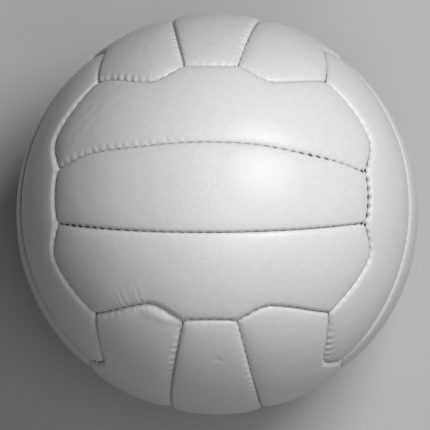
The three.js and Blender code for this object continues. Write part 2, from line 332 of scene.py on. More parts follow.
# Borders that are rolled over more widely, and catch the light.
WIDE_ROLLS = {
    "front": [(49, 21, 7, 1.5), (50, -21, 6, 0.6)],
    "right": [(20, 38, 9, 0.4)],
    "left": [(40, 44, 7, 0.5)],
    "back": [(-48, 20, 8, 0.8)],
    "bottom": [(49, -22, 8, 0.8)],
}
# Puckers on the middle strip's side of a seam.
MIDDLE_PUCKERS = {
    "front": [(28, -12.6, 14, 0.8)],
    "left": [(-20, 12.6, 10, 1)],
    "back": [(36, 12.4, 9, 2.2), (22, 12.4, 9, 2)],
    "bottom": [(25, -12.6, 10, 1.2)],
}
# Fine wrinkles that run out from a seam.
WRINKLES = {
    "top": [(-19, -30.5, 5, 1.9), (-25, -33.5, 5, 1.9), (-31, -36, 5, 1.5), (40, 44, 5, 0.5)],
    "front": [(14, 36, 7, 1), (10, -34, 8, 0.9)],
    "right": [(30, -30, 12, 0.8)],
    "left": [(-25, -20, 12, 0.8)],
    "back": [(20, 30, 12, 0.9), (-35, -36, 10, 0.9)],
    "bottom": [(30, -30, 12, 0.9)],
}
# Long shallow creases: (two places as along and across, width, depth). A ridge has a depth
# below 0.
CREASES = {
    "top": [
        ((-47, 22), (-33, 33), 1.6, 0.15), ((-42, 19.5), (-27, 32), 2.2, 0.135),
        ((-39, 33), (-30, 37.5), 1.5, 0.12), ((-47, 29), (-41, 33), 1.6, 0.12),
        ((19, 17.5), (21.5, 22), 0.9, 0.075), ((2.6, -17), (3.4, -20.5), 0.8, 0.09),
        ((1, -18), (1.6, -20), 0.8, 0.075),
    ],
    "front": [
        ((36, -4), (38, -1.5), 0.9, 0.18), ((16, -30), (11, -22), 1.6, 0.135),
        ((28.5, 29), (20.5, 23), 1.1, 0.15), ((20.5, 23.5), (20, 15.5), 1.1, 0.15),
        ((33, 27), (23.5, 20), 1.2, 0.105), ((19, -26), (27, -36.5), 1.1, 0.15),
        ((13, -26.5), (21, -35.5), 1.1, 0.135), ((49.3, 11), (52.6, 31), 2.7, -0.405),
        ((19, 20), (26, 30), 1.6, 0.12),
    ],
    "right": [((-20, 18), (-4, 25), 2, 0.135), ((12, -25), (20, -34), 1.8, 0.15)],
    "left": [
        ((-6, -30), (-24, -28), 1.3, 0.15), ((-10, -24), (-25, -19), 1.3, 0.12),
        ((18, -26), (2, -24), 1.4, 0.105), ((-30, 5), (-18, -6), 2, 0.135),
        ((14, -24), (26, -30), 1.8, 0.15),
    ],
    "back": [
        ((32, -33.5), (14, -25), 1.4, 0.135), ((38, -31), (22, -24), 1.4, 0.12),
        ((42, -27), (30, -21), 1.6, 0.105), ((-28, 22), (-14, 30), 2, 0.15),
        ((22, -3), (33, 5), 1.8, 0.12),
    ],
    "bottom": [((-30, -24), (-18, -32), 2, 0.15)],
}


def rows_of(table):
    """Each row of a table, with its group's name first."""
    return [(group, *row) for group, rows in table.items() for row in rows]


def closeness(points, group, along, across, reach):
    """How close unit points on the ball are to a place on a group, from 0 to 1."""
    return bell(norm(points - on_ball(group, along, across)), math.radians(reach))


def strength_at(points, places):
    """How strongly the named places act at unit points on the ball."""
    return sum(strength * closeness(points, *place) for *place, strength in rows_of(places))


def opening(s, bluntness):
    """From 0 where a stitch pulls the seam together, to 1 midway between two stitches."""
    return np.maximum(0, 0.5 + 0.5 * np.cos(TURN * s / STITCH_PITCH)) ** (1 / bluntness)


def at_stitch(s):
    """Closeness to a stitch along a seam, from 0 to 1."""
    past = (s / STITCH_PITCH) % 1 - 0.5
    return np.exp(-((past * STITCH_PITCH / PUCKER_WIDTH) ** 2) / 2)


def half_gap(s, feet):
    """Half the width of a seam's opening, which is a lens between two stitches."""
    ripple = ripple_field(feet * RADIUS, GAP_WAVELENGTH, GAP_SEED)
    uneven = OPEN_HALF_GAP * (1 + GAP_UNEVENNESS * ripple)
    wide = strength_at(feet, OPEN_STITCHES)
    return PINCHED_HALF_GAP + opening(s, LENS) * uneven + opening(s, WIDE_LENS) * wide


def crease_depth(points):
    """How deep the creases are at unit points on the ball."""
    total = 0
    wander = CREASE_WANDER * ripple_field(points * RADIUS, CREASE_WAVELENGTH, CREASE_SEED)
    for group, start, end, width, depth in rows_of(CREASES):
        a, b = on_ball(group, *start), on_ball(group, *end)
        share = np.clip((points - a) @ (b - a) / ((b - a) @ (b - a)), 0, 1)
        apart = norm(points - a - share[..., None] * (b - a)) * RADIUS
        fade = np.sin(math.pi * np.clip(share, 0.02, 0.98)) ** 0.5
        total += depth * fade * bell(apart + wander, width)
    return total


# ---- A strip's grid, and each point's place beside the strip's seams ----


class Border:
    """One border of a strip: for each grid point its distance d from the seam, its place s
    along the seam from the seam's middle, the seam's nearest point and the way in from it."""

    samples = 801

    def __init__(self, line, points, inside):
        arc = distances(line)
        heading = unit(np.gradient(line, axis=0))
        nearest = np.argmax(points @ line.T, axis=-1)
        at, ahead = line[nearest], heading[nearest]
        step = arc[-1] / (len(line) - 1)
        least, most = np.where(nearest > 0, -step, 0), np.where(nearest < len(line) - 1, step, 0)
        past = np.clip(np.sum((points - at) * ahead, axis=-1), least, most)
        self.foot = unit(at + past[..., None] * ahead)
        self.d = norm(points - self.foot) * RADIUS
        self.s = (arc[nearest] + past - arc[-1] / 2) * RADIUS
        inward = np.cross(ahead, points)
        turned = np.sign(np.sum(np.cross(heading, line) * (inside - line), axis=-1))[nearest]
        self.inward = unit(inward * turned[..., None])


def grid_lines(length):
    """Shares from 0 to 1 along a side of that length, closer together at both ends."""
    count = 2 * round(length / SPACING / 2)
    even = np.linspace(0, 1, count + 1)
    rows = np.array(EDGE_ROWS) / length
    clear = rows[-1] + 0.6 / count
    even = even[(even > clear) & (even < 1 - clear)]
    return np.concatenate([[0], rows, even, 1 - rows[::-1], [1]])


class Strip:
    """The grid of a strip with that side, on its group's own axes."""

    def __init__(self, side):
        self.side = side
        shares = np.linspace(0, 1, 101)
        self.length = distances(strip_surface(side, shares, 0.5))[-1] * RADIUS
        self.width = distances(strip_surface(side, 0.5, shares))[-1] * RADIUS
        self.u, self.v = grid_lines(self.length), grid_lines(self.width)
        self.points = strip_surface(side, self.u[:, None], self.v[None, :])
        share = np.linspace(0, 1, Border.samples)
        across = CORNER * (2 * share - 1)
        south, north = strip_sides(side, share)
        lines = [end_seam(-1, across), end_seam(1, across), south, north]
        inside = strip_surface(side, 0.5, 0.5)
        self.borders = [Border(line, self.points, inside) for line in lines]


def junctions(points, side):
    """Closeness to the places where the next group's strip seams meet this strip's long side."""
    ends = (long_seam(side, across) for across in (-STRIP_SEAM_END, STRIP_SEAM_END))
    return sum(bell(norm(points - end) * RADIUS, JUNCTION_REACH) for end in ends)


def edge_of(side, k):
    """The profile of a strip's border k: two ends first, then its two long sides."""
    if k < 2:
        return END_EDGE
    if side == 0:
        return CRISP_EDGE
    return LONG_EDGE if side == (-1, 1)[k - 2] else SOFT_EDGE


def edge_depth(strip, widening):
    """How far a strip's face comes down towards its seams: a roll into each, which a stitch
    holds up, and a narrow and a wide sink."""
    roll, roll_depths, bridge = 0, 0, 0
    near, wide, wide_total, wide_depths = 1, 1, 0, 0
    for k, border in enumerate(strip.borders):
        d = border.d
        roll_width, roll_depth, sink_depth = edge_of(strip.side, k)
        rolled = np.clip(1 - d / (roll_width * widening), 0, 1) ** 3
        roll += rolled
        roll_depths += roll_depth * rolled
        sunk = np.exp(-d / WIDE_SINK)
        near *= 1 - np.exp(-d / NEAR_SINK)
        wide *= 1 - sunk
        wide_total += sunk
        wide_depths += sink_depth * sunk
        bridge = np.maximum(bridge, at_stitch(border.s) * bell(d, BRIDGE_REACH))
    share = np.minimum(1, roll ** (1 / 3))
    depth = roll_depths / np.maximum(roll, 1e-9)
    drop = depth * (1 - np.sqrt(1 - share**2)) * (1 - BRIDGE_RISE * bridge)
    return drop + NEAR_SINK_DEPTH * (1 - near) + wide_depths / wide_total * (1 - wide)


def fold_depth(strip, points, seed):
    """The folds at a strip's stitches, and the wrinkles that run out from its seams."""
    pucker = BASE_PUCKER + strength_at(points, PUCKERS)
    on_middle = strength_at(points, MIDDLE_PUCKERS) if strip.side == 0 else 0
    wrinkled = strength_at(points, WRINKLES)
    reach = PUCKER_REACH + REACH_GROWTH * pucker
    drop = 0
    for k, border in enumerate(strip.borders):
        d, s = border.d, border.s
        wander = STITCH_WANDER * ripple_line(s, WANDER_WAVELENGTHS, seed=seed * 10 + k + 5)
        folded_side = k < 2 or strip.side == (1, -1)[k - 2]
        folds = pucker * (1 if folded_side else SMOOTH_SIDE) + on_middle
        fade = np.minimum(1, d / PUCKER_START) * bell(d, reach)
        drop += PUCKER_DEPTH * folds * at_stitch(s + wander) * fade
        wrinkle = ripple_line(s, WRINKLE_WAVELENGTHS, seed=seed * 10 + k)
        drop += (WRINKLE_BASE + WRINKLE_DEPTH * wrinkled) * wrinkle * np.exp(-d / WRINKLE_REACH)
        drop += GATHER_DEPTH * (pucker - BASE_PUCKER) * wrinkle * np.exp(-d / GATHER_REACH)
    return drop


def leather_surface(strip, group, seed):
    """The outer face of one panel in millimetres on the ball's axes, and how close to a seam
    each of its points is, from 0 to 1, which is how much dirt and painted shade darken it."""
    turn = turn_of(group).T
    points = strip.points @ turn
    drop = edge_depth(strip, 1 + strength_at(points, WIDE_ROLLS))
    drop += fold_depth(strip, points, seed)
    for depth, wavelength, offset in SWELLS:
        drop += depth * ripple_field(points * RADIUS, wavelength, seed + offset)
    drop += crease_depth(points)
    shift, grime = 0, 0
    for k, border in enumerate(strip.borders):
        wide = half_gap(border.s, border.foot @ turn)
        if k >= 2 and strip.side == (-1, 1)[k - 2]:
            wide = wide - JUNCTION_BULGE * junctions(strip.points, strip.side)
        shift += border.inward @ turn * (wide * bell(border.d, GAP_REACH))[..., None]
        # Close to each seam the leather takes dirt and painted shade.
        grime = np.maximum(grime, bell(border.d, DIRT_AND_SHADE_REACH))
    return points * (RADIUS - drop)[..., None] + shift, grime


# Uneven places of the real cut, which shift all the layers together: (along, across, reach
# in degrees, shift in millimetres on the ball's axes).
SHIFTS = {
    "top": [
        (-37.5, 13.5, 11, (0, 2.6, 0)), (-38, 42, 8, (0, 2, 0)), (30, 12.3, 12, (0, -1.5, 0)),
        (49, 12, 8, (0, -1.5, 0)), (20.9, -36.2, 6, (0, -1.7, 0)), (43.3, 44.6, 7, (-2, 0, 0)),
        (41.5, -44, 6, (1.3, 0, 0)),
    ],
    "back": [(-20, 12, 9, (0, 0, 1.5))],
    "bottom": [(15, -38, 8, (1.2, 0, 0))],
}


def shifted(points):
    """Points in millimetres, moved sideways with the cut's uneven places."""
    heading = unit(points)
    moved = heading.copy()
    for *place, shift in rows_of(SHIFTS):
        moved += np.array(shift) / RADIUS * closeness(heading, *place)[..., None]
    return unit(moved) * norm(points)[..., None]


# ---- Meshes ----


def inset_surface(side, u, v, inset):
    """Unit points of a grid on a strip, drawn in so that its border lies inside the strip's."""
    grid = np.meshgrid(u, v, indexing="ij")
    step = 1e-3
    moved = []
    for axis, own in enumerate(grid):
        inward = np.where(own < 0.5, 1, -1)
        border, beside, within = list(grid), list(grid), list(grid)
        border[axis] = beside[axis] = np.where(own < 0.5, 0.0, 1.0)
        within[axis] = border[axis] + inward * step
        other = grid[1 - axis]
        beside[1 - axis] = other + np.where(other < 0.5, step, -step)
        here = strip_surface(side, *border)
        heading = unit(strip_surface(side, *beside) - here)
        leap = strip_surface(side, *within) - here
        leap -= np.sum(leap * heading, axis=-1, keepdims=True) * heading
        apart = norm(leap) * RADIUS
        moved.append(own + inward * step * inset / apart * np.abs(1 - 2 * own))
    return strip_surface(side, *moved)


def cut_size(points, turned=0.0):
    """The flat width, length and area of the piece that a grid of points in millimetres was
    cut from, with so much more turned in all round, in metres."""
    lengths, widths = distances(points, 0)[-1], distances(points, 1)[:, -1]
    diagonals = points[1:, 1:] - points[:-1, :-1], points[1:, :-1] - points[:-1, 1:]
    area = norm(np.cross(*diagonals)).sum() / 2
    area += turned * (lengths[0] + lengths[-1] + widths[0] + widths[-1])
    width, length = widths.max() + 2 * turned, lengths.max() + 2 * turned
    return float(width * MM), float(length * MM), float(area * MM * MM)


def rim(rows, columns):
    """The grid places round a grid's edge, in order."""
    half = [(i, 0) for i in range(rows - 1)] + [(rows - 1, j) for j in range(columns - 1)]
    return half + [(rows - 1 - i, columns - 1 - j) for i, j in half]


def at_places(grid, places):
    return np.array([grid[place] for place in places])


def new_object(name, data):
    obj = bpy.data.objects.new(name, data)
    bpy.context.scene.collection.objects.link(obj)
    return obj


class Body:
    """Points and faces of one closed mesh, gathered piece by piece."""

    def __init__(self):
        self.points, self.faces, self.count = [], [], 0

    def add(self, points):
        """Adds points, and returns their numbers in the same layout."""
        shape = points.shape[:-1]
        numbers = np.arange(self.count, self.count + math.prod(shape)).reshape(shape)
        self.points.append(points.reshape(-1, 3))
        self.count += numbers.size
        return numbers

    def grid(self, numbers, inward=False, hole=None):
        """Faces over a grid of points, which may look inward, and may leave a square hole."""
        corners = numbers[:-1, :-1], numbers[1:, :-1], numbers[1:, 1:], numbers[:-1, 1:]
        quads = np.stack(corners, axis=-1)
        kept = np.ones(quads.shape[:2], bool)
        if hole:
            (i0, i1), (j0, j1) = hole
            kept[i0:i1, j0:j1] = False
        quads = quads[kept]
        self.faces += (quads[:, ::-1] if inward else quads).tolist()

    def wall(self, upper, lower):
        """Faces from one closed ring of points to the next."""
        quads = np.stack([np.roll(upper, -1), upper, lower, np.roll(lower, -1)], axis=-1)
        self.faces += quads.tolist()

    def line_hole(self, inner, outer, hole):
        """Faces between the rims of the same hole in two grids, if they have one."""
        if hole:
            (i0, i1), (j0, j1) = hole
            places = [(i0 + i, j0 + j) for i, j in rim(i1 - i0 + 1, j1 - j0 + 1)]
            self.wall(at_places(inner, places), at_places(outer, places))

    def coarsen(self, fine, fine_places, coarse):
        """Faces from a fine ring to a coarse one, whose points lie beside those fine places."""
        ends = [*fine_places[1:], fine_places[0] + len(fine)]
        for k, (start, end) in enumerate(zip(fine_places, ends)):
            along = [int(fine[n % len(fine)]) for n in range(end, start - 1, -1)]
            self.faces.append([*along, int(coarse[k]), int(coarse[(k + 1) % len(coarse)])])

    def all_points(self):
        return np.concatenate(self.points)

    def as_object(self, name, sharp=50, **attributes):
        """A smooth object from the faces and the points that they use. Attributes have a value
        for each point, and edges of more than that angle in degrees stay sharp."""
        used = np.zeros(self.count, bool)
        for face in self.faces:
            used[face] = True
        number = np.cumsum(used) - 1
        mesh = bpy.data.meshes.new(name)
        placed = (shifted(self.all_points()[used]) + [0, 0, CENTRE_HEIGHT]) * MM
        mesh.from_pydata(placed.tolist(), [], [number[face].tolist() for face in self.faces])
        for attribute, values in attributes.items():
            layer = mesh.attributes.new(attribute, "FLOAT", "POINT")
            layer.data.foreach_set("value", values[used].astype(np.float32))
        mesh.polygons.foreach_set("use_smooth", np.ones(len(mesh.polygons), bool))
        mesh.set_sharp_from_angle(angle=math.radians(sharp))
        mesh.update()
        return new_object(name, mesh)


def settle(obj, material, node):
    """Makes a piece stand for its CAD node, with a material."""
    obj.data.materials.append(material)
    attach(obj, "root")
    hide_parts(node)


def flattened(points, depth):
    """Points of a layer that deep below the surface, kept above the ball's flat patch."""
    points = points.copy()
    points[..., 2] = np.maximum(points[..., 2], depth - CENTRE_HEIGHT)
    return points


def rounded_hole(points, block):
    """Opens a grid over the ball's back into the valve's round hole. Points are on the
    group's own axes, and the block is the square of grid cells that the hole replaces."""
    (i0, i1), (j0, j1) = block
    half = np.abs(points[i0 : i1 + 1, j0 : j1 + 1, :2]).reshape(-1, 2).max(axis=0).min()
    x, y = points[..., 0], points[..., 1]
    square, circle = np.maximum(np.abs(x), np.abs(y)), np.maximum(np.hypot(x, y), 1e-9)
    reach = HOLE_SPREAD * half
    share = np.clip((square - half) / (reach - half), 0, 1)
    wanted = (1 - share) * VALVE_HOLE + share * circle
    scale = np.where(square < reach, wanted / circle, 1)
    moved = points.copy()
    moved[..., :2] *= scale[..., None]
    return moved


def hole_block(strip):
    """The cells in a grid's middle that lie over the valve's hole."""
    blocks = []
    for lines, length in ((strip.u, strip.length), (strip.v, strip.width)):
        middle = (len(lines) - 1) // 2
        cell = (lines[middle + 1] - lines[middle]) * length
        cells = max(1, round(VALVE_HOLE * HOLE_CELLS / cell))
        blocks.append((middle - cells, middle + cells))
    return blocks


def coarse_lines(strip, name):
    """The grid lines that the hidden layers keep: all of them in the valve's strip."""
    step = 1 if name == VALVE_STRIP else INNER_STEP
    counts = len(strip.u), len(strip.v)
    return tuple(sorted({*range(0, count, step), count - 1}) for count in counts)


def hidden_layer(strip, name, inset, radius):
    """A hidden layer as unit points on the group's axes, with its edge that far in from the
    strip's, and the cells that the valve's hole takes from it, if any."""
    lines_u, lines_v = coarse_lines(strip, name)
    points = inset_surface(strip.side, strip.u[lines_u], strip.v[lines_v], inset)
    if name != VALVE_STRIP:
        return points, None
    block = hole_block(strip)
    return unit(rounded_hole(points * radius, block)), block


def opened_face(strip, outer, block, turn):
    """A panel's outer face, opened at the valve and sunk a little round it."""
    from_valve = np.hypot(strip.points[..., 0], strip.points[..., 1]) * RADIUS
    dimple = DIMPLE_DEPTH * np.exp(-((from_valve / DIMPLE_RADIUS) ** 4))
    opened = rounded_hole(outer @ turn.T, block) @ turn
    return opened * (1 - dimple / RADIUS)[..., None]


def add_flange(body, strip, edge, face_ring, edge_points, turn):
    """The leather turned down into the seam all round. Returns its lowest ring of points."""
    inward = np.zeros_like(edge_points)
    for border in strip.borders:
        near = at_places(border.d, edge) < 0.01
        inward[near] += (at_places(border.inward, edge) @ turn)[near]
    place = unit(edge_points) + unit(inward) * CHANNEL_HALF_WIDTH / RADIUS
    upper = face_ring
    for depth in (CHANNEL_TOP, RADIUS - SHELL_INNER):
        lower = body.add(place * (RADIUS - depth))
        body.wall(upper, lower)
        upper = lower
    return lower


def leather_panel(group, strip, name, seed):
    """A leather panel: a crowned face, edges rolled into the seams, and turned-in flanges
    round a pocket for the backing."""
    turn = turn_of(group).T
    outer, grime = leather_surface(strip, group, seed)
    inner, block = hidden_layer(strip, name, LEATHER, POCKET_RADIUS)
    inner = inner @ turn
    if block:
        outer = opened_face(strip, outer, block, turn)

    body = Body()
    face = body.add(flattened(outer, 0))
    body.grid(face, hole=block)
    edge = rim(*face.shape)
    lowest = add_flange(body, strip, edge, at_places(face, edge), at_places(outer, edge), turn)
    coarse_u, coarse_v = coarse_lines(strip, name)
    coarse_edge = rim(len(coarse_u), len(coarse_v))
    place_number = {place: n for n, place in enumerate(edge)}
    fine_places = [place_number[coarse_u[i], coarse_v[j]] for i, j in coarse_edge]
    foot = body.add(at_places(inner, coarse_edge) * SHELL_INNER)
    body.coarsen(lowest, fine_places, foot)
    roof = body.add(flattened(inner * POCKET_RADIUS, LEATHER))
    body.wall(foot, at_places(roof, coarse_edge))
    body.grid(roof, inward=True, hole=block)
    body.line_hole(roof, face, block)

    # The face takes its share of dirt and painted shade by its closeness to a seam; the flanges
    # down in the seams and the hidden roof take all of it, which paints shade into the grooves.
    values = np.ones(body.count)
    values[: grime.size] = grime.ravel()
    panel = body.as_object(f"{name}_leather", seam_grime=values)
    settle(panel, LEATHER_LOOK, f"{name}_panel")
    width, length, area = cut_size(strip.points * RADIUS, turned=TURNED_IN)


def cloth_backing(group, strip, name):
    """The cloth laminate that fills a leather panel's pocket."""
    cloth, block = hidden_layer(strip, name, LEATHER + GAP, BACKING_RADIUS)
    cloth = cloth @ turn_of(group).T
    slack = 0.5 + 0.5 * ripple_field(cloth * RADIUS, SLACK_WAVELENGTH, SLACK_SEED)[..., None]
    outer = flattened(cloth * (BACKING_RADIUS - CLOTH_SLACK * np.clip(slack, 0, 2)), LEATHER + GAP)
    inner = flattened(cloth * SHELL_INNER, LEATHER + GAP + BACKING)

    body = Body()
    face, under = body.add(outer), body.add(inner)
    edge = rim(*face.shape)
    body.grid(face, hole=block)
    body.wall(at_places(face, edge), at_places(under, edge))
    body.grid(under, inward=True, hole=block)
    body.line_hole(under, face, block)

    along, across = (np.tile(distances(outer, axis).ravel(), 2) for axis in (0, 1))
    piece = body.as_object(f"{name}_cloth", along=along, across=across)
    settle(piece, CLOTH_LOOK, f"{name}_backing")
    width, length, area = cut_size(outer)


def lathe(profile, sides, closed=False):
    """A body turned about the valve's axis, +Y, from (radius, height) places. Its outside is
    passed going up. Where the profile isn't closed, it starts and ends at a radius of 0."""
    body = Body()
    angles = np.arange(sides) * TURN / sides
    rings = []
    for radius, height in profile:
        if radius < 1e-9:
            rings.append(np.repeat(body.add(np.array([[0.0, height, 0.0]])), sides))
        else:
            x, z = radius * np.sin(angles), radius * np.cos(angles)
            rings.append(body.add(np.stack([x, np.full(sides, float(height)), z], axis=-1)))
    for here, there in zip(rings, rings[1:] + rings[:1] * closed):
        body.wall(there, here)
    body.faces = [list(dict.fromkeys(face)) for face in body.faces]
    return body


def arc_profile(radius, start, end, steps):
    """Places on a circle about the ball's centre, between two radii from the valve's axis. A
    start or end of 0 is the pole away from the valve."""
    ends = [math.asin(distance / radius) if distance else math.pi for distance in (start, end)]
    angles = np.linspace(*ends, steps + 1)
    return [(radius * math.sin(angle), radius * math.cos(angle)) for angle in angles]


def packed_stuffing():
    """Textile fibre packed between the bladder and the shell, lumpy where it meets the cloth."""
    pocket_top = FLANGE_TOP + GAP
    profile = arc_profile(STUFFING_RADIUS, 0, VALVE_HOLE, STUFFING_RINGS)
    shaft = STUFFING_RADIUS - pocket_top
    profile += [(VALVE_HOLE, pocket_top + share * shaft) for share in (0.75, 0.5, 0.25, 0)]
    profile.append((FLANGE_RADIUS + GAP, pocket_top))
    profile += arc_profile(BLADDER_RADIUS + GAP, FLANGE_RADIUS + GAP, 0, STUFFING_RINGS // 2)
    body = lathe(profile, STUFFING_SIDES)
    points = body.all_points()
    distance = norm(points)
    from_valve = np.where(points[:, 1] > 0, np.hypot(points[:, 0], points[:, 2]), STUFFING_RADIUS)
    lumpy = np.clip(distance - STUFFING_RADIUS + 1, 0, 1)
    lumpy *= np.clip((from_valve - SMOOTH_ROUND_VALVE) / LUMPS_FADE, 0, 1)
    lumps = sum(share * ripple_field(points, size, seed, waves=9) for share, size, seed in LUMPS)
    depth = lumpy * LUMP_DEPTH * np.clip(0.5 + 0.5 * lumps, 0, 1)
    body.points = [flattened(points * (1 - depth / distance)[:, None], STUFFING_FLAT_DEPTH)]
    piece = body.as_object("packed_stuffing")
    settle(piece, stuffing_material(), "stuffing")


def rubber_bladder():
    """The latex bladder, with its mould's parting line inside and a collar round the hole."""
    inner = BLADDER_RADIUS - BLADDER_WALL
    profile = arc_profile(BLADDER_RADIUS, 0, VALVE_HOLE, BLADDER_RINGS)
    for radius, height in arc_profile(inner, VALVE_HOLE, 0, BLADDER_RINGS):
        rise = PARTING_RISE * math.exp(-((height / PARTING_WIDTH) ** 2))
        if height > 0:
            rise += COLLAR_RISE * math.exp(-((radius / COLLAR_RADIUS) ** 6))
        scale = 1 - rise / inner
        profile.append((radius if radius == VALVE_HOLE else radius * scale, height * scale))
    piece = lathe(profile, BLADDER_SIDES).as_object("rubber_bladder")
    settle(piece, bladder_material(), "bladder")


def needle_valve():
    """The valve: a stem with a funnel for a pump's needle, and a flange on the bladder."""
    r, foot, mouth = VALVE_RADIUS, VALVE_FOOT, RADIUS - VALVE_RECESS
    wide, low, high = FLANGE_RADIUS, BLADDER_RADIUS + GAP, FLANGE_TOP
    outside = [(1.5, foot), (r - 0.7, foot), (r - 0.2, foot + 0.2), (r, foot + 0.7), (r, low)]
    flange = [(wide - 0.4, low), (wide, low + 0.3), (wide, high - 0.6), (wide - 0.5, high - 0.2)]
    flange += [(wide - 1.2, high), (r + 0.6, high)]
    stem = [(r + 0.15, high + 0.15), (r, high + 0.5), (r, mouth - 0.8), (r - 0.15, mouth - 0.3)]
    funnel = [(r - 0.5, mouth), (3.3, mouth), (2.9, mouth - 0.15), (2.3, mouth - 0.7)]
    channel = [(1.5, mouth - 1.1), (NEEDLE_RADIUS, mouth - 1.7), (NEEDLE_RADIUS, foot + 0.5)]
    body = lathe(outside + flange + stem + funnel + channel, VALVE_SIDES, closed=True)
    piece = body.as_object("needle_valve", sharp=60)
    settle(piece, valve_material(), "valve")


# ---- Materials ----


class Nodes:
    """A short way to build one material's nodes. Coordinates are millimetres on the object."""

    def __init__(self, name):
        self.material = bpy.data.materials.new(name)
        self.material.use_nodes = True
        self.tree = self.material.node_tree
        self.shader = self.tree.nodes["Principled BSDF"]
        coordinates = self.tree.nodes.new("ShaderNodeTexCoord")
        self.mm = self.multiply(coordinates.outputs["Object"], (1 / MM,) * 3)

    def add(self, kind, inputs=None, **settings):
        node = self.tree.nodes.new(kind)
        for key, value in settings.items():
            setattr(node, key, value)
        for key, value in (inputs or {}).items():
            self.put(node.inputs[key], value)
        return node

    def put(self, socket, value):
        if isinstance(value, bpy.types.NodeSocket):
            self.tree.links.new(value, socket)
        else:
            socket.default_value = value

    def multiply(self, a, b):
        return self.add("ShaderNodeVectorMath", {0: a, 1: b}, operation="MULTIPLY").outputs[0]

    def math(self, operation, a, b=0.0):
        return self.add("ShaderNodeMath", {0: a, 1: b}, operation=operation).outputs[0]

    def noise(self, size, detail=3.0, roughness=0.5, stretch=(1, 1, 1), distortion=0.0):
        vector = self.multiply(self.mm, tuple(s / size for s in stretch))
        inputs = {"Vector": vector, "Scale": 1.0, "Detail": detail, "Roughness": roughness}
        inputs["Distortion"] = distortion
        return self.add("ShaderNodeTexNoise", inputs).outputs["Fac"]

    def cells(self, size, feature="F1"):
        vector = self.multiply(self.mm, (1 / size,) * 3)
        node = self.add("ShaderNodeTexVoronoi", {"Vector": vector, "Scale": 1.0}, feature=feature)
        return node.outputs["Distance"]

    def mix(self, share, a, b):
        return self.add("ShaderNodeMix", {0: share, 6: a, 7: b}, data_type="RGBA").outputs[2]

    def range(self, value, low, high, from_low=0.0, from_high=1.0):
        inputs = {0: value, 1: from_low, 2: from_high, 3: low, 4: high}
        return self.add("ShaderNodeMapRange", inputs).outputs[0]

    def attribute(self, name):
        return self.add("ShaderNodeAttribute", attribute_name=name).outputs["Fac"]

    def bump(self, *layers):
        """Bump from (height, strength, distance in millimetres), one on the other."""
        normal = None
        for height, strength, distance in layers:
            inputs = {"Height": height, "Strength": strength, "Distance": distance * MM}
            if normal:
                inputs["Normal"] = normal
            normal = self.add("ShaderNodeBump", inputs).outputs["Normal"]
        self.put(self.shader.inputs["Normal"], normal)

    def grey(self, value):
        """The same number in all three channels."""
        return self.add("ShaderNodeCombineXYZ", {0: value, 1: value, 2: value}).outputs[0]

    def surface(self, colour, roughness, sheen=0.0):
        self.put(self.shader.inputs["Base Color"], colour)
        self.put(self.shader.inputs["Roughness"], roughness)
        self.shader.inputs["Sheen Weight"].default_value = sheen


def leather_material():
    n = Nodes("white_leather")
    cloud = n.noise(24, detail=4, roughness=0.55)
    warm, cool = (0.80, 0.782, 0.782, 1), (0.785, 0.787, 0.787, 1)
    body = n.mix(n.range(cloud, 0, 1, 0.35, 0.65), warm, cool)
    blotch = n.range(n.noise(3.0, detail=5, roughness=0.65), 0.955, 1.02, 0.3, 0.7)
    body = n.multiply(body, n.grey(blotch))
    # Dirt and painted shade: near the seams and down in them, the leather is mixed towards a dark
    # grey-brown, in patches.
    dirt_and_shade_share = n.math("MULTIPLY", n.attribute("seam_grime"), n.range(n.noise(3, detail=3), 0.1, 0.45))
    colour = n.mix(dirt_and_shade_share, body, (0.42, 0.37, 0.34, 1))
    n.surface(colour, n.range(n.noise(3, detail=4), 0.37, 0.46, 0.3, 0.7))
    pebbles = n.cells(0.9, "SMOOTH_F1")
    pores = n.noise(0.8, detail=2)
    folds = n.noise(2.6, detail=3, roughness=0.55, distortion=0.5)
    n.bump((folds, 0.40, 0.15), (pebbles, 0.50, 0.13), (pores, 0.4, 0.07))
    return n.material


def cloth_material():
    n = Nodes("cotton_laminate")
    turns = (n.math("MULTIPLY", n.attribute(a), math.pi / WEAVE_PITCH) for a in ("along", "across"))
    warp, weft = (n.math("ABSOLUTE", n.math("SINE", turn)) for turn in turns)
    weave = n.math("MAXIMUM", warp, n.math("MULTIPLY", weft, 0.9))
    patches = n.math("MULTIPLY", n.noise(4, detail=4), 0.6)
    tone = n.math("ADD", n.math("MULTIPLY", weave, 0.5), patches)
    colour = n.mix(n.range(tone, 0, 1, 0.3, 0.9), (0.58, 0.52, 0.42, 1), (0.78, 0.73, 0.62, 1))
    n.surface(colour, n.range(n.noise(2), 0.8, 0.95), sheen=0.2)
    n.bump((weave, 0.6, 0.25), (n.noise(0.6, detail=2), 0.3, 0.1))
    return n.material


def stuffing_material():
    n = Nodes("packed_fibre")
    strands = n.noise(3.2, detail=6, roughness=0.7, stretch=(1, 5, 2), distortion=1.5)
    crossing = n.noise(2.6, detail=6, roughness=0.7, stretch=(4, 1, 3), distortion=1.5)
    fibres = n.math("MAXIMUM", strands, crossing)
    base = n.mix(n.range(fibres, 0, 1, 0.4, 0.75), (0.24, 0.21, 0.18, 1), (0.58, 0.55, 0.50, 1))
    flecks = n.range(n.noise(1.6, detail=2), 0, 1, 0.66, 0.72)
    colour = n.mix(flecks, base, (0.20, 0.24, 0.34, 1))
    n.surface(colour, n.range(fibres, 0.85, 1.0), sheen=0.3)
    n.bump((fibres, 0.8, 0.9), (n.noise(0.8, detail=3), 0.4, 0.2))
    return n.material


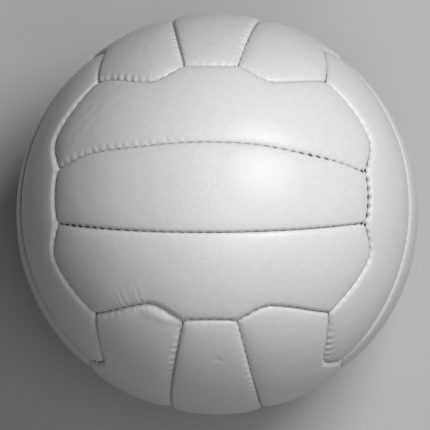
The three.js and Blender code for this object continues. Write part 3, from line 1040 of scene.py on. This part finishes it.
def bladder_material():
    n = Nodes("latex_bladder")
    cloud = n.range(n.noise(18, detail=4), 0, 1, 0.35, 0.7)
    rubber = n.mix(cloud, (0.28, 0.085, 0.055, 1), (0.38, 0.13, 0.085, 1))
    talc = n.math("MULTIPLY", n.range(n.noise(7, detail=6, roughness=0.7), 0, 1, 0.52, 0.72), 0.35)
    colour = n.mix(talc, rubber, (0.72, 0.66, 0.62, 1))
    n.surface(colour, n.range(talc, 0.55, 0.9, 0, 0.35))
    n.bump((n.noise(5, detail=3), 0.2, 0.2), (n.noise(0.7, detail=2), 0.25, 0.05))
    return n.material


def valve_material():
    n = Nodes("moulded_rubber")
    bloom = n.range(n.noise(3, detail=5), 0, 1, 0.45, 0.75)
    colour = n.mix(bloom, (0.035, 0.035, 0.036, 1), (0.075, 0.073, 0.07, 1))
    n.surface(colour, n.range(bloom, 0.48, 0.68))
    n.bump((n.noise(0.5, detail=2), 0.3, 0.04), (n.noise(2.5), 0.15, 0.06))
    return n.material


# ---- Threads ----

THREAD_STRAND = 0.22
STRAND_OFFSET = 0.20
STRAND_SIDES = 7
THREAD_END_CLEARANCE = 1.2
THREAD_STEP = 0.6


def add_strand(body, centres, sideways, up):
    """A closed round tube through points, with its sections in the given axes."""
    angles = np.arange(STRAND_SIDES) * TURN / STRAND_SIDES
    cosine, sine = np.cos(angles)[:, None], np.sin(angles)[:, None]
    ring = cosine * sideways[:, None] + sine * up[:, None]
    numbers = body.add(centres[:, None] + THREAD_STRAND * ring)
    for lower, upper in zip(numbers, numbers[1:]):
        body.wall(upper, lower)
    body.faces.append([int(n) for n in numbers[0][::-1]])
    body.faces.append([int(n) for n in numbers[-1]])


def evenly_spaced(line, seams):
    """A line of unit points again, with a point at each thread step, shorter at both ends, and
    each point's place along its own seam, from the seam's middle."""
    arc = distances(line) * RADIUS
    start, end = THREAD_END_CLEARANCE, arc[-1] - THREAD_END_CLEARANCE
    at = np.linspace(start, end, round((end - start) / THREAD_STEP) + 1)
    seam_length = arc[-1] / seams
    points = unit(np.stack([np.interp(at, arc, line[:, k]) for k in range(3)], axis=-1))
    return points, at % seam_length - seam_length / 2


def sewing_thread(name, node, line, seams=1):
    """Two waxed strands, twisted once round each other at every stitch, down in a seam. They
    lie higher where the stitches are open."""
    points, s = evenly_spaced(line, seams)
    heading = unit(np.gradient(points, axis=0))
    sideways = unit(np.cross(points, heading))
    open_here = np.minimum(1, strength_at(points, OPEN_STITCHES) / 0.5)
    depth = THREAD_DEEP - THREAD_RISE * open_here * opening(s, 1.0)
    twist = TURN * s / STITCH_PITCH
    body = Body()
    for start in (0, math.pi):
        offset = np.cos(twist + start)[:, None] * sideways + np.sin(twist + start)[:, None] * points
        centres = points * (RADIUS - depth)[:, None] + STRAND_OFFSET * offset
        add_strand(body, centres, sideways, points)
    settle(body.as_object(name), THREAD_LOOK, node)


def edge_seam(corner, axis):
    """The seam that leaves a cube corner along one axis, as unit points in order."""
    along, across, out = GROUPS[("back", "top", "right")[axis]][0]
    angles = corner[axis] * np.linspace(CORNER, -CORNER, Border.samples)
    x, y = (np.tan(np.radians(a))[:, None] for a in (end_along(angles), angles))
    return unit(x * along * (along @ corner) + y * across + out * (out @ corner))


def edge_trail(corner):
    """Three edge seams in a row, from one cube corner to the opposite one."""
    corner = np.array(corner, float)
    seams = []
    for axis in range(3):
        seams.append(edge_seam(corner, axis)[:-1])
        corner[axis] *= -1
    return np.concatenate([*seams, unit(corner)[None]])


def thread_material():
    n = Nodes("waxed_thread")
    fibres = n.range(n.noise(0.5, detail=3), 0, 1, 0.3, 0.7)
    colour = n.mix(fibres, (0.095, 0.032, 0.021, 1), (0.19, 0.065, 0.04, 1))
    n.surface(colour, n.range(n.noise(2.5), 0.35, 0.6))
    n.bump((n.cells(0.25), 0.5, 0.05))
    return n.material


# ---- Light, floor and camera ----


def tilt(about_x, about_y, about_z):
    """The turn from the ball's axes to the view's: first about y, then x, then z."""
    a, b, c = (math.radians(angle) for angle in (about_x, about_y, about_z))
    return Matrix.Rotation(c, 3, "Z") @ Matrix.Rotation(a, 3, "X") @ Matrix.Rotation(b, 3, "Y")


VIEW_TURN = tilt(-7.7, -2.5, -0.25)
BALL_CENTRE = Vector((0, 0, CENTRE_HEIGHT * MM))
CAMERA_AWAY = 25 * RADIUS
VIEW_WIDTH = 2.142 * RADIUS  # what the image's side takes in, at the ball's centre
# The ball's middle, from the image's.
BALL_RIGHT, BALL_UP = 0.0103 * RADIUS, 0.0060 * RADIUS

# In metres and watts. A light has a direction as right, up and towards the camera, a size and
# a power.
LIGHT_DISTANCE = 1.1
LIGHTS = [("key", (0.38, 0.42, 0.82), 0.55, 8.6), ("fill", (0.15, -0.20, 0.97), 0.8, 2.9)]
WORLD_COLOUR = (0.93, 0.96, 1.0, 1)
WORLD_STRENGTH = 0.03
FLOOR_HALF = 30.0


def from_view(x, y, z):
    """A direction given as right, up and towards the camera, in the frame's axes."""
    return VIEW_TURN.transposed() @ Vector((x, y, z))


def add_camera():
    data = bpy.data.cameras.new("camera")
    data.sensor_fit = "HORIZONTAL"
    data.angle = 2 * math.atan(VIEW_WIDTH / 2 / CAMERA_AWAY)
    camera = new_object("camera", data)
    right, up, back = VIEW_TURN
    aside = right * BALL_RIGHT * MM + up * BALL_UP * MM
    place = BALL_CENTRE - aside + back * CAMERA_AWAY * MM
    camera.matrix_world = Matrix.Translation(place) @ VIEW_TURN.transposed().to_4x4()
    bpy.context.scene.camera = camera


def add_light(name, direction, size, power):
    data = bpy.data.lights.new(name, "AREA")
    data.shape, data.size, data.energy = "DISK", size, power
    light = new_object(name, data)
    direction = from_view(*direction).normalized()
    turn = direction.to_track_quat("Z", "Y").to_matrix().to_4x4()
    light.matrix_world = Matrix.Translation(BALL_CENTRE + direction * LIGHT_DISTANCE) @ turn
    light.visible_camera = False


def add_world():
    world = bpy.data.worlds.new("studio")
    world.use_nodes = True
    background = world.node_tree.nodes["Background"]
    background.inputs["Color"].default_value = WORLD_COLOUR
    background.inputs["Strength"].default_value = WORLD_STRENGTH
    bpy.context.scene.world = world
    bpy.context.scene.view_settings.view_transform = "Standard"


def add_floor():
    h = FLOOR_HALF
    corners = [(-h, -h, 0), (h, -h, 0), (h, h, 0), (-h, h, 0)]
    mesh = bpy.data.meshes.new("floor")
    mesh.from_pydata(corners, [], [(0, 1, 2, 3)])
    n = Nodes("pale_floor")
    n.surface(n.grey(n.range(n.noise(60, detail=3), 0.56, 0.60)), 0.9)
    mesh.materials.append(n.material)
    new_object("floor", mesh)


# ---- Assembly ----

add_camera()
for light in LIGHTS:
    add_light(*light)
add_world()
add_floor()

STRIPS = {side: Strip(side) for side in SIDES}
LEATHER_LOOK = leather_material()
CLOTH_LOOK = cloth_material()
PANELS = [(g, side, f"{g}_{names[side + 1]}") for g, (_, names) in GROUPS.items() for side in SIDES]
for number, (group, side, name) in enumerate(PANELS, start=1):
    leather_panel(group, STRIPS[side], name, seed=number)
    cloth_backing(group, STRIPS[side], name)
packed_stuffing()
rubber_bladder()
needle_valve()

THREAD_LOOK = thread_material()
for group, side, name in PANELS:
    if side != 0:
        seam = strip_seam(side, np.linspace(0, 1, Border.samples)) @ turn_of(group).T
        sewing_thread(f"{name}_stitching", f"{name}_seam_thread", seam)
TRAIL_STARTS = [(1, 1, 1), (1, -1, -1), (-1, 1, -1), (-1, -1, 1)]
for number, corner in enumerate(TRAIL_STARTS, start=1):
    node = f"edge_seam_thread_{number}"
    sewing_thread(f"edge_stitching_{number}", node, edge_trail(corner), seams=3)
